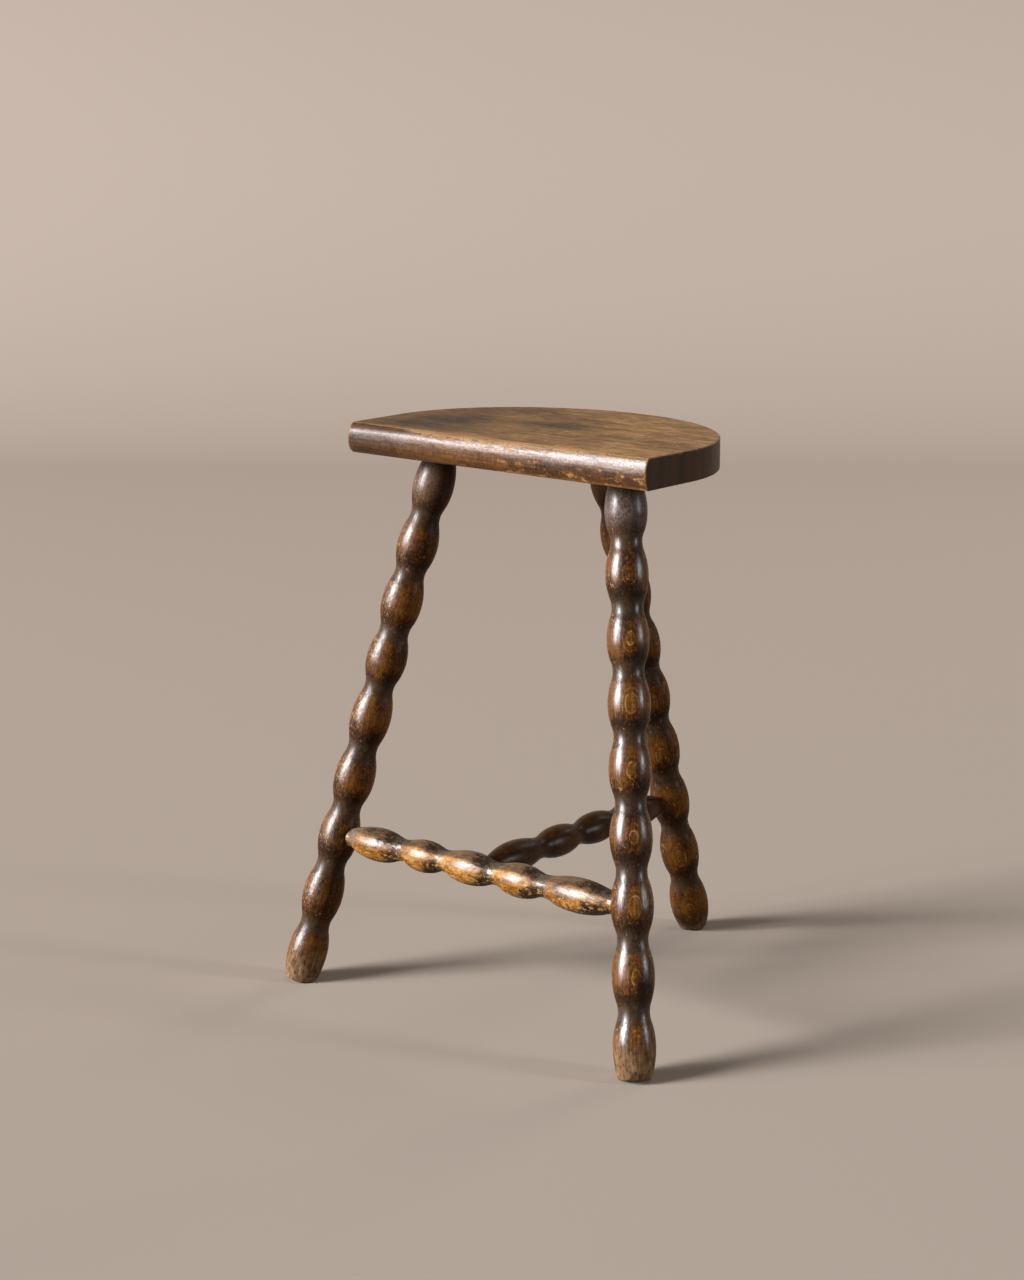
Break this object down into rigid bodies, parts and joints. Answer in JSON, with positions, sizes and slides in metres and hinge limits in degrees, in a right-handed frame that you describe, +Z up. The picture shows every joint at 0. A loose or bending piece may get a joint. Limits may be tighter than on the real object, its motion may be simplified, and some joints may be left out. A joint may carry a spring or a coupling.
{
  "type": "tripod stool",
  "caption": "Antique wooden tripod stool: a D-shaped board seat on splayed bobbin-turned legs, tied by turned stretchers that meet in a T.",
  "frame": {"origin": "on the floor, in the middle of the stool's bounding box", "axes": "+Z up; +Y from the straight front edge of the seat towards its bowed back and the rear leg; X along the straight front edge, so the seat, rear leg and cross stretcher lie evenly on both sides of X = 0, and the front stretcher's shortest bulb lies on the -X side"},
  "size_m": [0.3708, 0.3374, 0.46],
  "materials": {
    "seat_wood": "old dark stain under a worn waxed polish, rubbed pale along the edges",
    "leg_wood": "dark brown stain and glossy old polish, worn pale at the feet",
    "worn_wood": "polish worn through to golden wood by shoes, dark stain left in the necks",
    "dark_wood": "dark brown stain and old polish, little worn"
  },
  "bodies": {
    "root": {"seat": "seat_wood", "left_leg": "leg_wood", "right_leg": "leg_wood", "rear_leg": "leg_wood", "front_stretcher": "worn_wood", "cross_stretcher": "dark_wood"}
  },
  "joints": []
}
